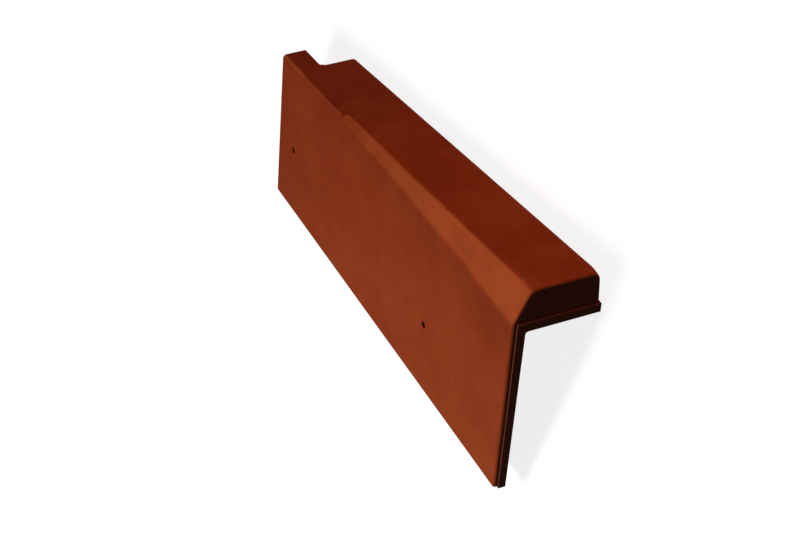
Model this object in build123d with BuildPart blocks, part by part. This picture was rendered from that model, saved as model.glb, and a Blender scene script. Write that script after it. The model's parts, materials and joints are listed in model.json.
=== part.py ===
"""Left-hand clay verge tile, pressed and fired as one piece.

The tile is drawn as it sits on a roof: X runs from the outer face of the skirt
towards the free edge of the wing, Y from the front edge up the slope, and Z up.
Z is zero at the underside of the wing's front edge. At the end the tile is laid
down as it rests on a level floor, on the wing's free edge and the skirt's foot.
"""

import os
from math import radians, tan

from build123d import *

# Driving dimensions, in millimetres and degrees.
length = 420.0
skirt_depth = 160.6
skirt_foot_wall = 10.2
skirt_head_wall = 11.3
wing_length = 387.4
wing_front_width = 76.4
wing_rear_width = 54.7
nose_height = 38.0
top_fall = 6.9
side_draft = 3.0
wall = 11.0
ledge_width = 1.4
nose_lean = 1.6
ledge_depth = 8.5
ledge_height = 8.2
ledge_inset = 3.8
lug_width = 21.4
lug_length = 40.5
lug_front_step = 0.8
lug_rear_step = 0.1
facet_start = 303.0
facet_end_skew = 22.0
facet_front_width = 14.5
facet_start_width = 6.0
facet_front_foot = 8.7
facet_start_foot = -2.0
nail_hole_radius = 3.0
nail_hole_drop = 95.8
nail_hole_places = (135.0, 391.0)

# Rounded edges.
free_edge_round = 5.0
facet_foot_round = 6.0
facet_top_round = 2.6
front_round = 2.4
arris_round = 1.5
lug_arris_round = 3.5
foot_round = 2.0
notch_round = 6.0
ledge_corner_round = 2.5
ledge_front_round = 0.7

# Room that a cutting shape is given past the tile, and a small one where it ends inside.
past = 30.0
little = 1.0


def top_at(y):
    """Height of the sloping top above the wing's front underside."""
    return nose_height - y * tan(radians(top_fall))


def under_at(y):
    """Height of the underside of the wing's plate."""
    return top_at(y) - wall


def free_edge_at(y, z):
    """Place of the wing's side face, which narrows to the rear and leans in with height."""
    narrowing = (wing_front_width - wing_rear_width) / wing_length
    return wing_front_width - narrowing * y - z * tan(radians(side_draft))


def facet_at(y):
    """Height of the facet's foot on the skirt and its width on the top."""
    share = y / facet_start
    foot = facet_front_foot + (facet_start_foot - facet_front_foot) * share
    width = facet_front_width + (facet_start_width - facet_front_width) * share
    return foot, width


def edge_near(x, y, z):
    """The tile's edge that passes this place."""
    return tile.edges().sort_by_distance((x, y, z))[0]


# The plate comes down to the wing's underside here, and the hollow nose ends.
hollow_end = under_at(0) / tan(radians(top_fall))
low, high = -past - wall, nose_height + past

# The front of the nose leans back to here.
front_top = ledge_width + nose_lean

with BuildPart() as tile:
    # Skirt, thinner at its foot.
    with BuildSketch(Plane.XZ.offset(-length)):
        with BuildLine():
            Polyline(
                (0, -skirt_depth),
                (skirt_foot_wall, -skirt_depth),
                (skirt_head_wall, 0),
                (0, 0),
                close=True,
            )
        make_face()
    extrude(amount=length - ledge_width)

    # Wing, lug and nose in one slab: the top slopes, the nose stands on the level front underside.
    with BuildSketch(Plane.YZ):
        with BuildLine():
            Polyline(
                (ledge_width, 0),
                (hollow_end, 0),
                (length, under_at(length)),
                (length, top_at(length)),
                (front_top, top_at(front_top)),
                close=True,
            )
        make_face()
    extrude(amount=wing_front_width)

    # The skirt's head follows the top.
    with BuildSketch(Plane.YZ):
        with BuildLine():
            Polyline(
                (hollow_end, top_at(hollow_end)),
                (length + past, top_at(length + past)),
                (length + past, high),
                (hollow_end, high),
                close=True,
            )
        make_face()
    extrude(amount=wing_front_width + past, mode=Mode.SUBTRACT)

    # Side face of the wing, with its draft, and the rounded edge above it.
    for y in (-past, length + past):
        with BuildSketch(Plane.XZ.offset(-y)):
            with BuildLine():
                Polyline(
                    (free_edge_at(y, low), low),
                    (wing_front_width + past, low),
                    (wing_front_width + past, high),
                    (free_edge_at(y, high), high),
                    close=True,
                )
            make_face()
    loft(ruled=True, mode=Mode.SUBTRACT)
    free_edge = edge_near(free_edge_at(hollow_end, top_at(hollow_end)), hollow_end, top_at(hollow_end))
    fillet(free_edge, radius=free_edge_round)

    # Rear notch beside the lug.
    with BuildSketch(Plane.XY.offset(low)) as notch:
        with BuildLine():
            Polyline(
                (lug_width, wing_length),
                (wing_front_width + past, wing_length),
                (wing_front_width + past, length + past),
                (lug_width, length + past),
                close=True,
            )
        make_face()
        notch_corner = notch.vertices().sort_by_distance((lug_width, wing_length, low))[0]
        fillet(notch_corner, radius=notch_round)
    extrude(amount=high - low, mode=Mode.SUBTRACT)

    # Lug, a little lower than the top.
    lug_front = length - lug_length
    with BuildSketch(Plane.YZ.offset(-past)):
        with BuildLine():
            Polyline(
                (lug_front, top_at(lug_front) - lug_front_step),
                (length, top_at(length) - lug_rear_step),
                (length, high),
                (lug_front, high),
                close=True,
            )
        make_face()
    extrude(amount=past + lug_width + little, mode=Mode.SUBTRACT)

    # Outer arris, softer on the lug.
    lug_middle = length - lug_length / 2
    lug_edge = edge_near(0, lug_middle, top_at(lug_middle) - (lug_front_step + lug_rear_step) / 2)
    fillet(lug_edge, radius=lug_arris_round)
    fillet(edge_near(0, hollow_end, top_at(hollow_end)), radius=arris_round)

    # The rear of the tile waits while the facet is cut and its creases are rounded.
    facet_end = Plane.XZ.offset(-facet_start).rotated((0, 0, -facet_end_skew))
    rear = split(tile.part, bisect_by=facet_end, keep=Keep.BOTTOM, mode=Mode.PRIVATE)
    split(bisect_by=facet_end, keep=Keep.TOP)

    # Facet that cuts the outer top edge, from a point along the tile to the nose.
    # Its cutting line runs on past the facet by the facet's own width and rise, on either side.
    for y in (-past, facet_start + little):
        foot, width = facet_at(y)
        rise = top_at(y) - foot
        with BuildSketch(Plane.XZ.offset(-y)):
            with BuildLine():
                Polyline(
                    (-width, foot - rise),
                    (2 * width, foot + 2 * rise),
                    (-width, foot + 2 * rise),
                    close=True,
                )
            make_face()
    loft(ruled=True, mode=Mode.SUBTRACT)
    foot, width = facet_at(hollow_end)
    fillet(edge_near(width, hollow_end, top_at(hollow_end)), radius=facet_top_round)
    fillet(edge_near(0, hollow_end, foot), radius=facet_foot_round)

    # The front edges of the skirt, the facet, the top and the side are one rounded chain.
    nose_edge = edge_near(wing_rear_width, front_top, top_at(front_top))
    skirt_edge = edge_near(0, ledge_width, -skirt_depth / 2)
    fillet([nose_edge, skirt_edge], radius=front_round)
    add(rear)
    fillet(edge_near(0, hollow_end, -skirt_depth), radius=foot_round)

    # Hollow under the nose, open below, with walls as thick as the plate.
    with BuildPart(mode=Mode.PRIVATE) as hollow:
        with BuildSketch(Plane.YZ.offset(skirt_head_wall)):
            with BuildLine():
                Polyline(
                    (ledge_width + wall, -little),
                    (ledge_width + wall, under_at(ledge_width + wall)),
                    (hollow_end, 0),
                    (hollow_end, -little),
                    close=True,
                )
            make_face()
        extrude(amount=wing_front_width)
        for y in (-past, length + past):
            with BuildSketch(Plane.XZ.offset(-y)):
                with BuildLine():
                    Polyline(
                        (free_edge_at(y, low) - wall, low),
                        (free_edge_at(y, low) + past, low),
                        (free_edge_at(y, high) + past, high),
                        (free_edge_at(y, high) - wall, high),
                        close=True,
                    )
                make_face()
        loft(ruled=True, mode=Mode.SUBTRACT)
    add(hollow.part, mode=Mode.SUBTRACT)

    # Ledge along the front edges of the skirt and the wing, where the mould parts.
    with BuildSketch(Plane.XZ.offset(-ledge_depth)) as ledge:
        with BuildLine():
            Polyline(
                (ledge_inset, -skirt_depth),
                (skirt_foot_wall, -skirt_depth),
                (skirt_head_wall, 0),
                (wing_front_width, 0),
                (wing_front_width, ledge_height),
                (ledge_inset, ledge_height),
                close=True,
            )
        make_face()
        ledge_corner = ledge.vertices().sort_by_distance((ledge_inset, 0, ledge_height))[0]
        fillet(ledge_corner, radius=ledge_corner_round)
    extrude(amount=ledge_depth)
    fillet(edge_near(wing_rear_width, 0, ledge_height), radius=ledge_front_round)

    # Two nail holes through the skirt.
    with Locations(*[Location((0, y, -nail_hole_drop), (0, 90, 0)) for y in nail_hole_places]):
        Hole(radius=nail_hole_radius, depth=skirt_head_wall + little)

# Laid down, the tile touches the floor at the free edge's two ends and at the skirt's rear foot.
front_corner = Vector(wing_front_width, ledge_depth, 0)
rear_corner = Vector(free_edge_at(wing_length, under_at(wing_length)), wing_length, under_at(wing_length))
rear_foot = Vector(skirt_foot_wall, length, -skirt_depth)
up = (rear_foot - rear_corner).cross(front_corner - rear_corner).normalized()
floor = Plane(origin=rear_foot, x_dir=Vector(0, 1, 0).cross(up), z_dir=up)
tile.part = floor.to_local_coords(tile.part)

# The origin is the middle of the laid tile's footprint.
footprint = tile.part.bounding_box()
middle = footprint.center()
to_origin = Location((-middle.X, -middle.Y, -footprint.min.Z))
tile.part = tile.part.moved(to_origin)

tile.part.label = "verge_tile"
os.makedirs("parts", exist_ok=True)
export_step(tile.part, "parts/verge_tile.step")
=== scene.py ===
"""Red clay verge tile: its worn nose, the finish of its fired clay, and the stage that it is seen on.

The tile is one pressed and fired piece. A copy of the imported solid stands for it, with the long
edges of its nose worn rounder. Patterns and lamps are placed by the tile's own axes as it hangs
on a roof: x into the wall through a nail hole, y from the front nail hole to the rear one, z up
the skirt. The axes and their origin, the front nail hole, come from the record.
"""

import json
from math import cos, pi, radians, sin, tan

import bmesh
import bpy
import numpy as np
from bpy.props import FloatProperty, FloatVectorProperty, PointerProperty
from mathutils import Matrix, Vector


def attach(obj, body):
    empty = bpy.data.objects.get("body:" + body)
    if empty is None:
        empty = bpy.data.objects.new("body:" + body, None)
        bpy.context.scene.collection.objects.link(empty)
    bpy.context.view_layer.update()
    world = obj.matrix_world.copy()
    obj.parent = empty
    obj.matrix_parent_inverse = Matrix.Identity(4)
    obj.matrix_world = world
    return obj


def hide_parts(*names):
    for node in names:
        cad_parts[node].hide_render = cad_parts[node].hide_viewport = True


bl_info = {
    "name": "Clay verge tile",
    "version": (1, 0, 0),
    "blender": (4, 5, 0),
    "location": "View3D > Sidebar > Verge tile",
    "description": "Worn nose, fired clay finish and pale stage for a verge tile",
    "category": "Material",
}

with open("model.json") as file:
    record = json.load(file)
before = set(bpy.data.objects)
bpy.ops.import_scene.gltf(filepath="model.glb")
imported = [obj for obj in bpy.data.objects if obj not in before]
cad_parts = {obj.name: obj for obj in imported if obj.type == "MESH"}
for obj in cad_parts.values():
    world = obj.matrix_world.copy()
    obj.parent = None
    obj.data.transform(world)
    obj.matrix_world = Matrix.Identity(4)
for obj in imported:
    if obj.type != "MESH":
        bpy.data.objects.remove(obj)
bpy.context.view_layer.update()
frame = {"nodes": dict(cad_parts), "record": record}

MILLIMETRE = 0.001
TILE_NODE = "verge_tile"
TILE_PIECE = "clay_tile"

# Seeds of the patches and of the smaller blots.
PATCH_SEED = 0.0
BLOT_SEED = 4.0

# Ends of the tile by its own axes, in metres.
FRONT_EDGE = -0.135
REAR_EDGE = 0.285
SKIRT_FOOT = -0.065
SKIRT_HEAD = 0.095

# Specks and pits: how far apart they lie and how large they are, in metres.
IRON_SPECKS = (0.0052, 0.0005)
GROG_SPECKS = (0.0085, 0.0007)
PITS = (0.0105, 0.0007)

# Heights of the skin's relief, in metres.
PATCH_HEIGHT = 0.0006
BLOT_HEIGHT = 0.00025
CLOUD_HEIGHT = 0.00016
GRAIN_HEIGHT = 0.00012
PIT_DEPTH = 0.00025

# Stretches along the tile over which the paleness of rubbing and the painted sheen change, in metres by its
# own axes.
RUBBING_AND_SHEEN_LIFTS = (-0.12, -0.03)
RUBBING_AND_SHEEN_WEAKENS = (0.03, 0.15)
RUBBING_AND_SHEEN_RETURNS = (0.235, 0.250)
FACET_TURNS_UP = (0.06, 0.19)

# Where the painted shade on the skirt beside the facet ends to the rear, and how far it reaches down from the
# skirt's head.
SHADE_ENDS = (0.16, 0.26)
SHADE_DEPTH = 0.045

# Where the painted shade on the ledge and on the front end gives way to the rest.
LEDGE_ENDS = (FRONT_EDGE + 0.0008, FRONT_EDGE + 0.0016)
FRONT_END_ENDS = (FRONT_EDGE + 0.005, FRONT_EDGE + 0.010)


def hole_mount(name):
    """The record's mount of one nail hole."""
    return next(mount for mount in frame["record"]["mounts"] if mount["name"] == name)


def tile_axes():
    """Matrix from the tile's own axes to the frame. Its columns are x, y, z and the front hole's place."""
    front, rear = hole_mount("front_nail_hole"), hole_mount("rear_nail_hole")
    origin = Vector(front["pos_m"])
    x = -Vector(front["axis"]).normalized()
    y = (Vector(rear["pos_m"]) - origin).normalized()
    z = x.cross(y)
    turn = Matrix((x, y, z)).transposed().to_4x4()
    return Matrix.Translation(origin) @ turn


TILE_AXES = tile_axes()


class Field:
    """A number that varies over a surface. Arithmetic on fields adds Math nodes to their tree."""

    def __init__(self, tree, socket):
        self.tree = tree
        self.socket = socket

    def math(self, operation, *others):
        return self.tree.add("ShaderNodeMath", {"operation": operation}, dict(enumerate((self, *others))))

    def __add__(self, other):
        return self.math("ADD", other)

    def __radd__(self, other):
        return self.math("ADD", other)

    def __sub__(self, other):
        return self.math("SUBTRACT", other)

    def __rsub__(self, other):
        return self.math("MULTIPLY_ADD", -1.0, other)

    def __mul__(self, other):
        return self.math("MULTIPLY", other)

    def __rmul__(self, other):
        return self.math("MULTIPLY", other)

    def above(self, low, high):
        """0 below low, 1 above high, and a smooth step between them."""
        inputs = {"Value": self, "From Min": low, "From Max": high}
        return self.tree.add("ShaderNodeMapRange", {"interpolation_type": "SMOOTHSTEP"}, inputs)

    def ramp(self, low, high):
        """0 at low, 1 at high, and straight between them."""
        return self.tree.add("ShaderNodeMapRange", None, {"Value": self, "From Min": low, "From Max": high})


class ShaderTree:
    """The node tree of one material, filled by expressions on fields."""

    def __init__(self, material):
        material.use_nodes = True
        self.nodes = material.node_tree.nodes
        self.links = material.node_tree.links
        self.nodes.clear()

    def add(self, kind, settings=None, inputs=None, output=0):
        """One node: its settings come first, then each input, by name or number, takes a value or a field."""
        node = self.nodes.new(kind)
        for name, value in (settings or {}).items():
            setattr(node, name, value)
        for name, value in (inputs or {}).items():
            if isinstance(value, Field):
                self.links.new(value.socket, node.inputs[name])
            else:
                node.inputs[name].default_value = value
        return Field(self, node.outputs[output]) if len(node.outputs) else node

    def noise(self, place, size, detail=2.0, roughness=0.5, seed=0.0):
        """Noise from 0 to 1 whose largest features are about size metres across."""
        inputs = {"Vector": place, "Scale": 1 / size, "Detail": detail, "Roughness": roughness, "W": seed}
        return self.add("ShaderNodeTexNoise", {"noise_dimensions": "4D"}, inputs)

    def blend(self, share, first, second, how="MIX"):
        """Colours first and second, blended by share."""
        settings = {"data_type": "RGBA", "blend_type": how}
        return self.add("ShaderNodeMix", settings, {"Factor": share, 6: first, 7: second}, output=2)

    def grey(self, value):
        """A colour with the same number in each channel."""
        return self.add("ShaderNodeCombineColor", None, {"Red": value, "Green": value, "Blue": value})

    def part(self, vector, axis):
        """One number of a vector."""
        return self.add("ShaderNodeSeparateXYZ", None, {"Vector": vector}, output=axis)

    def specks(self, place, spacing, radius):
        """1 inside small balls strewn through the clay about spacing apart, and 0 outside them."""
        nearest = self.add("ShaderNodeTexVoronoi", None, {"Vector": place, "Scale": 1 / spacing})
        return 1.0 - nearest.above(0.5 * radius / spacing, radius / spacing)

    def shown_ray(self):
        """1 for what is seen, straight, in a reflection or through glass, and 0 for what lights the scene."""
        kinds = ("Camera", "Glossy", "Transmission")
        camera, glossy, through = (self.add("ShaderNodeLightPath", output=f"Is {kind} Ray") for kind in kinds)
        return camera.math("MAXIMUM", glossy).math("MAXIMUM", through)


def at(x, y, z):
    """A place by the tile's own axes, in millimetres, as a point of the frame."""
    return TILE_AXES @ (Vector((x, y, z)) * MILLIMETRE)


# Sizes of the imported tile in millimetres, where the nose is worn. Places are taken from its front
# edge, the outer face of its skirt and the underside of its wing, so the hole lies here.
HOLE_PLACE = Vector((5.32, 135, -95.8))
NOSE_HEIGHT = 38.0
TOP_FALL = tan(radians(6.9))
WING_LENGTH = 387.4
WING_FRONT_WIDTH = 76.4
WING_REAR_WIDTH = 54.7
WING_NARROWING = (WING_FRONT_WIDTH - WING_REAR_WIDTH) / WING_LENGTH
SIDE_DRAFT = radians(3.0)
FACET_END = 303.0
FACET_FOOT = (8.7, -2.0)
FACET_WIDTH = (14.5, 6.0)
PACKED_SIDE_ROUND = 5.0
PACKED_CREASE_ROUND = 2.6
PACKED_FOOT_ROUND = 6.0

# Stretches along the tile over which the worn rounds shrink, and where the wear ends.
SIDE_SHRINKS = (0, 15)
CREASE_FRONT_SHRINKS = (3, 50)
CREASE_SHRINKS = (255, 285)
FOOT_SHRINKS = (200, 270)
WORN_END = FACET_END - 12

# How deep under its skin the clay moves with it, as a share of the worn radius.
WEAR_DEPTH = 0.8

# The part of the tile that is cut finer across and up, and the planes that cut the copy before its
# edges are worn: along the tile, across it, and up its nose.
CUT_END = FACET_END - 10
CUT_FOOT = -8.0
CUTS_ALONG = (*np.arange(4.5, 60, 4), *np.arange(60, FACET_END, 9))
CUTS_ACROSS = (*np.arange(1, 29, 0.75), *np.arange(60, 76, 1.5))
CUTS_UP = np.arange(-5, NOSE_HEIGHT, 0.75)

# Distances at which vertices are one, lie on a cut, or leave only a sliver between them.
SAME_PLACE = 1e-3
ON_CUT = 1e-4
SLIVER = 0.01

# Faces that meet at more than this stay sharp.
SHARP_ANGLE = radians(25)


def smooth_step(value, low, high):
    """0 below low, 1 above high, and a smooth step between them."""
    share = np.clip((value - low) / (high - low), 0, 1)
    return share * share * (3 - 2 * share)


def pressed_in(points, corner, first, second, packed_round, worn_round):
    """Points of a section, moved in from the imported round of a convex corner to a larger, worn one.

    Each row has its own corner and the outward directions of the two flats that meet there.
    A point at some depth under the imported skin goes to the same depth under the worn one, along the
    line from the worn round's centre. The move fades out with depth.
    """
    def cross(a, b):
        return a[:, 0] * b[:, 1] - a[:, 1] * b[:, 0]

    def from_centre(radius):
        """Each point's arm from the round's centre, the arm's length, and whether it points at the round."""
        centre = corner - (radius / (1 + (first * second).sum(1)))[:, None] * (first + second)
        arm = points - centre
        turn = cross(first, second)
        at_round = (cross(arm, second) / turn > 0) & (cross(first, arm) / turn > 0)
        return arm, np.linalg.norm(arm, axis=1), at_round

    arm, reach, moved = from_centre(worn_round)
    _, packed_reach, under_packed_round = from_centre(packed_round)
    past = points - corner
    under_flats = -np.maximum((past * first).sum(1), (past * second).sum(1))
    depth = np.where(under_packed_round, packed_round - packed_reach, under_flats)
    fade = 1 - smooth_step(depth, 0, WEAR_DEPTH * worn_round)
    shift = np.minimum(0, worn_round - depth - reach) * fade * moved
    return points + arm / np.maximum(reach, 1e-6)[:, None] * shift[:, None]


def worn_nose(places, wear):
    """Places on the tile, with the three long edges of its nose pressed in to their worn rounds.

    In each section across the tile, the top falls evenly to the rear, the side face narrows and leans,
    and the facet's foot and width change evenly from the front to its end. Their corners are the edges.
    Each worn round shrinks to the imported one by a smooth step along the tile.
    """
    x, y, z = places.T
    top = NOSE_HEIGHT - TOP_FALL * y
    side = WING_FRONT_WIDTH - WING_NARROWING * y - top * tan(SIDE_DRAFT)
    foot, width = (start + (end - start) * y / FACET_END for start, end in (FACET_FOOT, FACET_WIDTH))

    # The ways that the top, the side, the skirt and the facet face.
    up = np.array([[0.0, 1.0]])
    outward = np.array([[cos(SIDE_DRAFT), sin(SIDE_DRAFT)]])
    aside = np.array([[-1.0, 0.0]])
    slope = np.stack((foot - top, width), 1)
    slope /= np.linalg.norm(slope, axis=1)[:, None]

    side_round, crease_round, crease_front_round, foot_round = (
        radius / MILLIMETRE for radius in (wear.side_front, wear.crease, wear.crease_front, wear.foot)
    )
    side_growth = (side_round - PACKED_SIDE_ROUND) * (1 - smooth_step(y, *SIDE_SHRINKS))
    crease_growth = (crease_front_round - crease_round) * (1 - smooth_step(y, *CREASE_FRONT_SHRINKS))
    crease_growth += crease_round - PACKED_CREASE_ROUND
    crease_growth *= 1 - smooth_step(y, *CREASE_SHRINKS)
    foot_growth = (foot_round - PACKED_FOOT_ROUND) * (1 - smooth_step(y, *FOOT_SHRINKS))
    edges = (
        (side, top, up, outward, PACKED_SIDE_ROUND, side_growth),
        (width, top, slope, up, PACKED_CREASE_ROUND, crease_growth),
        (0 * y, foot, aside, slope, PACKED_FOOT_ROUND, foot_growth),
    )
    section = np.stack((x, z), 1)
    on_nose = (y < WORN_END)[:, None]
    for edge_x, edge_z, first, second, packed_round, growth in edges:
        corner = np.stack((edge_x, edge_z), 1)
        pressed = pressed_in(section, corner, first, second, packed_round, packed_round + growth)
        section = np.where(on_nose, pressed, section)
    return np.stack((section[:, 0], y, section[:, 1]), 1)


class NoseWear(bpy.types.PropertyGroup):
    """Rounds of the nose's long edges, as pressing and handling leave them."""

    side_front: FloatProperty(
        name="Free edge", description="Round of the free edge at the front", default=0.010, unit="LENGTH"
    )
    crease: FloatProperty(
        name="Crease", description="Round between the facet and the top", default=0.006, unit="LENGTH"
    )
    crease_front: FloatProperty(
        name="Crease at the front", description="The same round at the front", default=0.012, unit="LENGTH"
    )
    foot: FloatProperty(
        name="Facet's foot", description="Round between the facet and the skirt", default=0.014, unit="LENGTH"
    )


class ClayFinish(bpy.types.PropertyGroup):
    """Colours and relief of the fired clay, with the colours of its painted sheen and shade."""

    red: FloatVectorProperty(
        name="Clay red", description="Body colour of the fired clay", subtype="COLOR",
        default=(0.240, 0.0230, 0.0022),
    )
    orange: FloatVectorProperty(
        name="Clay orange", description="Paler colour of the drier patches", subtype="COLOR",
        default=(0.275, 0.0465, 0.0108),
    )
    top_red: FloatVectorProperty(
        name="Top red", description="Redder clay of the top", subtype="COLOR",
        default=(0.255, 0.0232, 0.0018),
    )
    top_orange: FloatVectorProperty(
        name="Top orange", description="Paler clay of the top", subtype="COLOR",
        default=(0.256, 0.0330, 0.0054),
    )
    # Paler colour of the facet and the arrises: partly rubbing, partly painted sheen.
    rubbed_and_sheen: FloatVectorProperty(
        name="Rubbed clay", description="Colour of the facet and the arrises", subtype="COLOR",
        default=(0.350, 0.0660, 0.0155),
    )
    # Painted shade: a duller, darker colour for the front end and its ledge.
    front_shade: FloatVectorProperty(
        name="Dusty clay", description="Duller clay of the front end and its ledge", subtype="COLOR",
        default=(0.165, 0.040, 0.019),
    )
    speck: FloatVectorProperty(
        name="Iron speck", description="Colour of the small dark specks", subtype="COLOR",
        default=(0.12, 0.014, 0.003),
    )
    grog: FloatVectorProperty(
        name="Grog speck", description="Colour of the small pale specks", subtype="COLOR",
        default=(0.38, 0.090, 0.025),
    )
    patch_size: FloatProperty(
        name="Patch size", description="Width of the soft patches", default=0.075, unit="LENGTH"
    )
    blot_size: FloatProperty(
        name="Blot size", description="Width of the smaller blots", default=0.032, unit="LENGTH"
    )
    cloud_size: FloatProperty(
        name="Cloud size", description="Width of the faint clouds", default=0.013, unit="LENGTH"
    )
    streak_width: FloatProperty(
        name="Streak width", description="Width of the streaks up the skirt", default=0.012, unit="LENGTH"
    )
    grain_size: FloatProperty(
        name="Grain size", description="Width of the sandy grain", default=0.0007, unit="LENGTH"
    )
    roughness: FloatProperty(
        name="Roughness", description="Roughness of the unglazed skin", default=0.85, subtype="FACTOR"
    )


class StageSettings(bpy.types.PropertyGroup):
    """Camera and lamps."""

    azimuth: FloatProperty(
        name="Azimuth", description="Camera's turn from the front", default=radians(36.324), subtype="ANGLE"
    )
    elevation: FloatProperty(
        name="Elevation", description="Camera's height angle", default=radians(35.074), subtype="ANGLE"
    )
    roll: FloatProperty(
        name="Roll", description="Camera's roll, which hangs the tile by its nose", default=radians(-90.774),
        subtype="ANGLE",
    )
    distance: FloatProperty(
        name="Distance", description="Camera to the middle of the view", default=2.0806, unit="LENGTH"
    )
    aim: FloatVectorProperty(
        name="Aim", description="Middle of the view", default=(-0.03619, -0.00461, 0.02524), unit="LENGTH"
    )
    lens: FloatProperty(name="Lens", description="Focal length in millimetres", default=112.5)
    key_watts: FloatProperty(name="Key lamp", description="Watts of the lamp at the skirt", default=6.5)
    top_watts: FloatProperty(name="Top lamp", description="Watts of the lamp above the top", default=2.75)
    rear_watts: FloatProperty(name="Rear lamp", description="Watts of the lamp behind the lug", default=1.4)
    fill_light: FloatProperty(name="Fill light", description="Strength of the light all round", default=0.02)


class TILE_OT_body(bpy.types.Operator):
    """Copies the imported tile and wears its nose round"""

    bl_idname = "tile.body"
    bl_label = "Wear the nose"

    def cut(self, work, axis, places, chosen=None):
        """Cuts the mesh, or its chosen faces, by planes across one axis."""
        normal = Vector((axis == "x", axis == "y", axis == "z"))
        for place in places:
            faces = work.faces[:] if chosen is None else [face for face in work.faces if chosen(face)]
            edges = {edge for face in faces for edge in face.edges}
            verts = {vert for face in faces for vert in face.verts}
            geometry = [*verts, *edges, *faces]
            bmesh.ops.bisect_plane(
                work, geom=geometry, dist=ON_CUT, plane_co=normal * float(place), plane_no=normal
            )

    def on_nose(self, face):
        """Whether a face lies on the nose, short of the facet's end and near its foot or higher."""
        middle = face.calc_center_bounds()
        return middle.y < CUT_END and middle.z > CUT_FOOT

    def execute(self, context):
        source = frame["nodes"][TILE_NODE]
        to_tile = Matrix.Translation(HOLE_PLACE) @ Matrix.Scale(1 / MILLIMETRE, 4) @ TILE_AXES.inverted()
        work = bmesh.new()
        work.from_mesh(source.data)
        bmesh.ops.transform(work, matrix=to_tile @ source.matrix_world, verts=work.verts)
        bmesh.ops.remove_doubles(work, verts=work.verts, dist=SAME_PLACE)
        self.cut(work, "y", CUTS_ALONG)
        self.cut(work, "x", CUTS_ACROSS, self.on_nose)
        self.cut(work, "z", CUTS_UP, self.on_nose)
        bmesh.ops.dissolve_degenerate(work, dist=SLIVER, edges=work.edges)
        mesh = bpy.data.meshes.new(TILE_PIECE)
        work.to_mesh(mesh)
        work.free()

        places = np.empty(len(mesh.vertices) * 3)
        mesh.vertices.foreach_get("co", places)
        worn = worn_nose(places.reshape(-1, 3), context.scene.nose_wear)
        mesh.vertices.foreach_set("co", worn.ravel())
        mesh.transform(to_tile.inverted())
        mesh.shade_smooth()
        mesh.set_sharp_from_angle(angle=SHARP_ANGLE)

        tile = bpy.data.objects.new(TILE_PIECE, mesh)
        context.scene.collection.objects.link(tile)
        flats = tile.modifiers.new("flats_stay_flat", "WEIGHTED_NORMAL")
        flats.keep_sharp = True
        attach(tile, "root")
        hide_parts(TILE_NODE)
        return {"FINISHED"}


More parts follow.
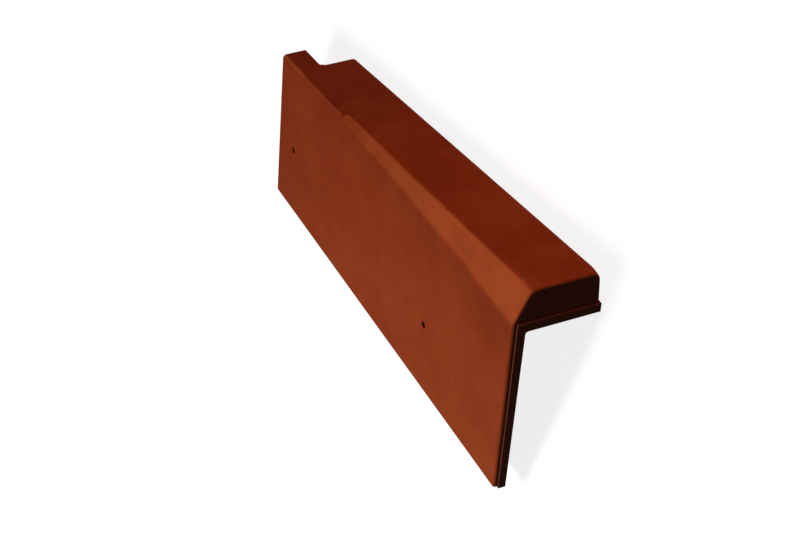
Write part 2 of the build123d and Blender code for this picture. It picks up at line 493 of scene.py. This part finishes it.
class TILE_OT_clay(bpy.types.Operator):
    """Gives the tile its fired clay"""

    bl_idname = "tile.clay"
    bl_label = "Fire the clay"

    def execute(self, context):
        finish = context.scene.clay_finish
        material = bpy.data.materials.new("fired_clay")
        tree = ShaderTree(material)

        # Place on the tile and the way a face looks, by its own axes.
        own = TILE_AXES.inverted()
        turn = own.to_euler()
        object_place = tree.add("ShaderNodeTexCoord", output="Object")
        object_normal = tree.add("ShaderNodeTexCoord", output="Normal")
        place_inputs = {"Vector": object_place, "Location": own.translation, "Rotation": turn}
        place = tree.add("ShaderNodeMapping", {"vector_type": "POINT"}, place_inputs)
        facing_inputs = {"Vector": object_normal, "Rotation": turn}
        facing = tree.add("ShaderNodeMapping", {"vector_type": "POINT"}, facing_inputs)
        face_x, face_y, face_z = (tree.part(facing, axis) for axis in "XYZ")

        # Patterns: soft patches, smaller blots and clouds, faint streaks up the skirt, and a sandy grain.
        streak_inputs = {"Vector": place, "Scale": (1, 1, 0.12)}
        drawn_up = tree.add("ShaderNodeMapping", {"vector_type": "POINT"}, streak_inputs)
        patches = tree.noise(place, finish.patch_size, detail=1.0, seed=PATCH_SEED)
        blots = tree.noise(place, finish.blot_size, detail=2.0, seed=BLOT_SEED)
        clouds = tree.noise(place, finish.cloud_size, detail=3.0, roughness=0.6)
        streaks = tree.noise(drawn_up, finish.streak_width, detail=3.0)
        grain = tree.noise(place, finish.grain_size, detail=3.0, roughness=0.7)

        # The facet and the arrises face between the skirt's side and the top. Their paler colour is partly
        # rubbing and partly painted sheen, and it ends unevenly, about halfway round their edges. The facet
        # turns up towards the rear, so there it ends nearer to the top. Behind the middle of the facet and up
        # to the lug the paleness of rubbing and the painted sheen are weaker.
        y, z = tree.part(place, "Y"), tree.part(place, "Z")
        uneven = 0.3 * (blots - 0.5)
        turned_up = 0.28 * y.above(*FACET_TURNS_UP)
        lifted = 0.17 * y.above(*RUBBING_AND_SHEEN_LIFTS) + 0.3 * turned_up
        below_top = (uneven - face_x + turned_up).above(0.42, 0.66)
        above_skirt = (face_z + uneven - lifted).above(0.05, 0.40)
        weaker = y.above(*RUBBING_AND_SHEEN_WEAKENS) * (1.0 - y.above(*RUBBING_AND_SHEEN_RETURNS))
        between = below_top * above_skirt * (1.0 - 0.35 * weaker)
        on_top = face_z.above(0.5, 0.95)

        # Slow change, painted light and shade: paler to the front and the foot as painted light, and darker
        # on the skirt beside the facet, under the crease, as painted shade. The facet and the top are the
        # blotchiest.
        to_front = 1.0 - y.ramp(FRONT_EDGE, REAR_EDGE)
        to_foot = 1.0 - z.ramp(SKIRT_FOOT, SKIRT_HEAD)
        not_past_head = 1.0 - z.above(SKIRT_HEAD, SKIRT_HEAD + 0.010)
        near_head = z.above(SKIRT_HEAD - SHADE_DEPTH, SKIRT_HEAD) * not_past_head
        # Painted shade on the skirt under the crease, beside the facet.
        crease_shade = near_head * (1.0 - y.above(*SHADE_ENDS))
        # Painted light: paler towards the foot and towards the front.
        painted_foot_light = 0.13 * (to_foot - 0.5) * (0.3 + 0.7 * to_front)
        painted_front_light = (0.10 + 0.12 * between + 0.08 * on_top) * (to_front - 0.5)
        mottle = 0.18 * (patches - 0.5) + 0.22 * (blots - 0.5)
        mottle = mottle + 0.20 * (clouds - 0.5) + 0.06 * (streaks - 0.5)
        blotchy = 1.0 + 0.8 * between + 0.8 * on_top
        tone = 1.02 + painted_foot_light + painted_front_light - 0.09 * crease_shade
        tone = tone + blotchy * mottle + 0.32 * (grain - 0.5)

        # Clay: redder to orange with the patches and towards the front and the foot, and redder on the top.
        hue = (patches * 0.5 + blots * 0.5 + 0.4 * (clouds - 0.5)).above(0.35, 0.65)
        warmth = 0.3 * hue + 0.35 * to_front + 0.35 * to_foot
        body = tree.blend(warmth, (*finish.red, 1), (*finish.orange, 1))
        top_body = tree.blend(0.7 * hue + 0.3 * to_front, (*finish.top_red, 1), (*finish.top_orange, 1))
        body = tree.blend(on_top, body, top_body)
        # Painted sheen, partly rubbing: the paler colour on the facet and the arrises.
        body = tree.blend(between, body, (*finish.rubbed_and_sheen, 1))

        # The front end and the whole of its ledge, which stands proud of it, get a duller, darker colour:
        # painted shade.
        ledge = 1.0 - y.above(*LEDGE_ENDS)
        near_front = 1.0 - y.above(*FRONT_END_ENDS)
        front_end = (0.0 - face_y).above(0.85, 0.99) * near_front
        body = tree.blend(ledge.math("MAXIMUM", front_end), body, (*finish.front_shade, 1))

        # Specks in the clay, cut through by the skin.
        iron = tree.specks(place, *IRON_SPECKS)
        grog = tree.specks(place, *GROG_SPECKS)
        body = tree.blend(iron, body, (*finish.speck, 1))
        body = tree.blend(grog * 0.5, body, (*finish.grog, 1))
        colour = tree.blend(1.0, body, tree.grey(tone), "MULTIPLY")

        # Relief in metres: sandy skin, small pits and a faint waviness from the press.
        pits = tree.specks(place, *PITS)
        waves = clouds * CLOUD_HEIGHT + blots * BLOT_HEIGHT + patches * PATCH_HEIGHT
        skin_height = grain * GRAIN_HEIGHT + waves - pits * PIT_DEPTH
        relief = tree.add("ShaderNodeBump", None, {"Strength": 1.0, "Distance": 1.0, "Height": skin_height})

        surface = tree.add(
            "ShaderNodeBsdfPrincipled",
            None,
            {
                "Base Color": colour,
                "Roughness": finish.roughness + 0.12 * (clouds - 0.5),
                "Specular IOR Level": 0.08,
                "Normal": relief,
            },
        )
        tree.add("ShaderNodeOutputMaterial", None, {"Surface": surface})

        bpy.data.objects[TILE_PIECE].data.materials.append(material)
        return {"FINISHED"}


class TILE_OT_stage(bpy.types.Operator):
    """Sets the floor, the lamps and the camera"""

    bl_idname = "tile.stage"
    bl_label = "Set the stage"

    def floor(self, context):
        """A floor that shows white with a faint shadow, and throws little light back at the tile."""
        bpy.ops.mesh.primitive_plane_add(size=12)
        floor = context.object
        floor.name = "floor"
        material = bpy.data.materials.new("pale_floor")
        tree = ShaderTree(material)
        place = tree.add("ShaderNodeTexCoord", output="Object")
        from_middle = tree.add("ShaderNodeVectorMath", {"operation": "LENGTH"}, {0: place}, output=1)
        brightness = 0.84 + 0.16 * from_middle.above(0.2, 0.8)
        glow = tree.add("ShaderNodeEmission", None, {"Color": (1, 1, 1, 1), "Strength": brightness})
        paint = tree.add("ShaderNodeBsdfDiffuse", None, {"Color": (0.3, 0.3, 0.3, 1)})
        dull = tree.add("ShaderNodeBsdfDiffuse", None, {"Color": (0.05, 0.05, 0.05, 1)})
        shown = tree.add("ShaderNodeAddShader", None, {0: glow, 1: paint})
        surface = tree.add("ShaderNodeMixShader", None, {0: tree.shown_ray(), 1: dull, 2: shown})
        tree.add("ShaderNodeOutputMaterial", None, {"Surface": surface})
        floor.data.materials.append(material)

    def lamp(self, context, name, place, target, width, watts, colour=(1, 1, 1)):
        """A square lamp at a place, turned to its target."""
        light = bpy.data.lights.new(name, "AREA")
        light.size = width
        light.energy = watts
        light.color = colour
        lamp = bpy.data.objects.new(name, light)
        context.scene.collection.objects.link(lamp)
        lamp.location = place
        lamp.rotation_euler = (place - target).to_track_quat("Z", "Y").to_euler()

    def world(self, context, fill):
        """White where it is seen, and a weak even light everywhere else."""
        world = bpy.data.worlds.new("studio")
        context.scene.world = world
        tree = ShaderTree(world)
        strength = tree.shown_ray() * (1 - fill) + fill
        sky = tree.add("ShaderNodeBackground", None, {"Color": (1, 1, 1, 1), "Strength": strength})
        tree.add("ShaderNodeOutputWorld", None, {"Surface": sky})

    def camera(self, context, stage):
        """A camera at the photograph's angle: at the aim it is turned, tilted and rolled, then moved back."""
        data = bpy.data.cameras.new("camera")
        data.lens = stage.lens
        data.clip_end = 50
        camera = bpy.data.objects.new("camera", data)
        context.scene.collection.objects.link(camera)
        turn = (
            Matrix.Rotation(stage.azimuth, 4, "Z")
            @ Matrix.Rotation(pi / 2 - stage.elevation, 4, "X")
            @ Matrix.Rotation(stage.roll, 4, "Z")
        )
        back = Matrix.Translation((0, 0, stage.distance))
        camera.matrix_world = Matrix.Translation(stage.aim) @ turn @ back
        context.scene.camera = camera

    def execute(self, context):
        stage = context.scene.tile_stage
        self.floor(context)
        self.world(context, stage.fill_light)
        self.lamp(context, "key", at(-905, 0, -60), at(0, 0, -60), 0.32, stage.key_watts)
        self.lamp(context, "top", at(-20, -20, 850), at(-20, -20, 0), 0.26, stage.top_watts, (1, 0.75, 0.68))
        self.lamp(context, "rear", at(20, 1150, 0), at(20, 285, 0), 0.5, stage.rear_watts)
        self.camera(context, stage)
        context.scene.view_settings.view_transform = "Standard"
        return {"FINISHED"}


class TILE_PT_panel(bpy.types.Panel):
    """Lists the settings of the nose, the clay and the stage, each with its operator"""

    bl_label = "Verge tile"
    bl_idname = "TILE_PT_panel"
    bl_space_type = "VIEW_3D"
    bl_region_type = "UI"
    bl_category = "Verge tile"

    def draw(self, context):
        steps = (("nose_wear", TILE_OT_body), ("clay_finish", TILE_OT_clay), ("tile_stage", TILE_OT_stage))
        for group, operator in steps:
            column = self.layout.column()
            settings = getattr(context.scene, group)
            for name in settings.__annotations__:
                column.prop(settings, name)
            column.operator(operator.bl_idname)


CLASSES = (NoseWear, ClayFinish, StageSettings, TILE_OT_body, TILE_OT_clay, TILE_OT_stage, TILE_PT_panel)


def register():
    for each in CLASSES:
        bpy.utils.register_class(each)
    bpy.types.Scene.nose_wear = PointerProperty(type=NoseWear)
    bpy.types.Scene.clay_finish = PointerProperty(type=ClayFinish)
    bpy.types.Scene.tile_stage = PointerProperty(type=StageSettings)


def unregister():
    del bpy.types.Scene.tile_stage
    del bpy.types.Scene.clay_finish
    del bpy.types.Scene.nose_wear
    for each in reversed(CLASSES):
        bpy.utils.unregister_class(each)


def main():
    """Runs the operators in order."""
    register()
    bpy.ops.tile.body()
    bpy.ops.tile.clay()
    bpy.ops.tile.stage()


if __name__ == "__main__":
    main()
